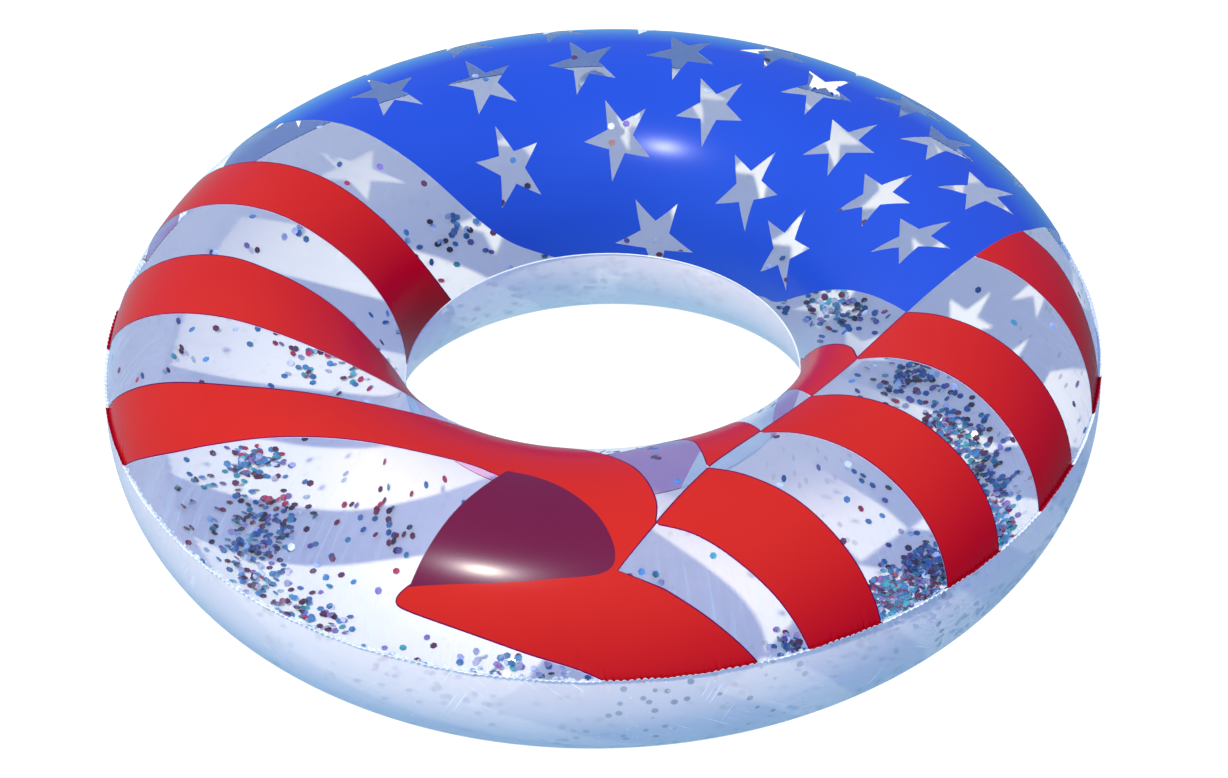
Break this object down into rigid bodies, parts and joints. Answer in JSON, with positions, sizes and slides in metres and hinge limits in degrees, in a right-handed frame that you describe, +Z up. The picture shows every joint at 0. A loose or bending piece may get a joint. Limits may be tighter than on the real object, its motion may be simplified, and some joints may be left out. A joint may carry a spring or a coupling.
{
  "type": "inflatable swim ring",
  "caption": "Inflatable swim ring of two welded vinyl panels, with a printed clear top, a milky underside, a push-in valve and loose glitter inside.",
  "frame": {"origin": "on the floor at the centre of the ring, at the bottom centre of its box", "axes": "+Z up along the hole's axis; -Y towards the viewer; the valve is at +Y"},
  "size_m": [0.7044, 0.7044, 0.1953],
  "materials": {
    "clear_vinyl": "clear, slightly blue, glossy",
    "milky_vinyl": "milky translucent, satin gloss",
    "weld_vinyl": "welded, pressed flat",
    "valve_vinyl": "soft moulded vinyl, nearly clear",
    "glitter_blue": "foil",
    "glitter_violet": "foil",
    "glitter_crimson": "foil",
    "glitter_maroon": "foil",
    "glitter_aqua": "foil",
    "glitter_silver": "foil"
  },
  "bodies": {
    "ring": {"top_panel": "clear_vinyl", "bottom_panel": "milky_vinyl", "outer_seam": "weld_vinyl", "inner_seam": "weld_vinyl", "valve_base": "valve_vinyl", "glitter_blue_01": "glitter_blue", "glitter_violet_02": "glitter_violet", "glitter_crimson_03": "glitter_crimson", "glitter_maroon_04": "glitter_maroon", "glitter_aqua_05": "glitter_aqua", "glitter_silver_06": "glitter_silver", "glitter_blue_07": "glitter_blue", "glitter_violet_08": "glitter_violet", "glitter_crimson_09": "glitter_crimson", "glitter_maroon_10": "glitter_maroon", "glitter_aqua_11": "glitter_aqua", "glitter_silver_12": "glitter_silver", "glitter_blue_13": "glitter_blue", "glitter_violet_14": "glitter_violet", "glitter_crimson_15": "glitter_crimson", "glitter_maroon_16": "glitter_maroon", "glitter_aqua_17": "glitter_aqua", "glitter_silver_18": "glitter_silver", "glitter_blue_19": "glitter_blue", "glitter_violet_20": "glitter_violet", "glitter_crimson_21": "glitter_crimson", "glitter_maroon_22": "glitter_maroon", "glitter_aqua_23": "glitter_aqua", "glitter_silver_24": "glitter_silver", "glitter_blue_25": "glitter_blue", "glitter_violet_26": "glitter_violet", "glitter_crimson_27": "glitter_crimson", "glitter_maroon_28": "glitter_maroon", "glitter_aqua_29": "glitter_aqua", "glitter_silver_30": "glitter_silver", "glitter_blue_31": "glitter_blue", "glitter_violet_32": "glitter_violet", "glitter_crimson_33": "glitter_crimson", "glitter_maroon_34": "glitter_maroon", "glitter_aqua_35": "glitter_aqua", "glitter_silver_36": "glitter_silver", "glitter_blue_37": "glitter_blue", "glitter_violet_38": "glitter_violet", "glitter_crimson_39": "glitter_crimson", "glitter_maroon_40": "glitter_maroon"},
    "stem": {"valve_stem": "valve_vinyl"},
    "plug": {"valve_plug": "valve_vinyl", "plug_tether": "valve_vinyl"},
    "flap": {"check_flap": "valve_vinyl"}
  },
  "joints": [
    {"name": "valve_slide", "type": "slide", "parent": "ring", "child": "stem", "axis": [0, 1, 0], "range_m": [0, 0.01]},
    {"name": "plug_swing", "type": "hinge", "parent": "stem", "child": "plug", "pos_m": [0, 0.35025, 0.0873], "axis": [-1, 0, 0], "range_deg": [0, 150]},
    {"name": "flap_swing", "type": "hinge", "parent": "stem", "child": "flap", "pos_m": [0, 0.32135, 0.0913], "axis": [1, 0, 0], "range_deg": [0, 60], "stiffness_Nm_per_rad": 0.0001}
  ]
}
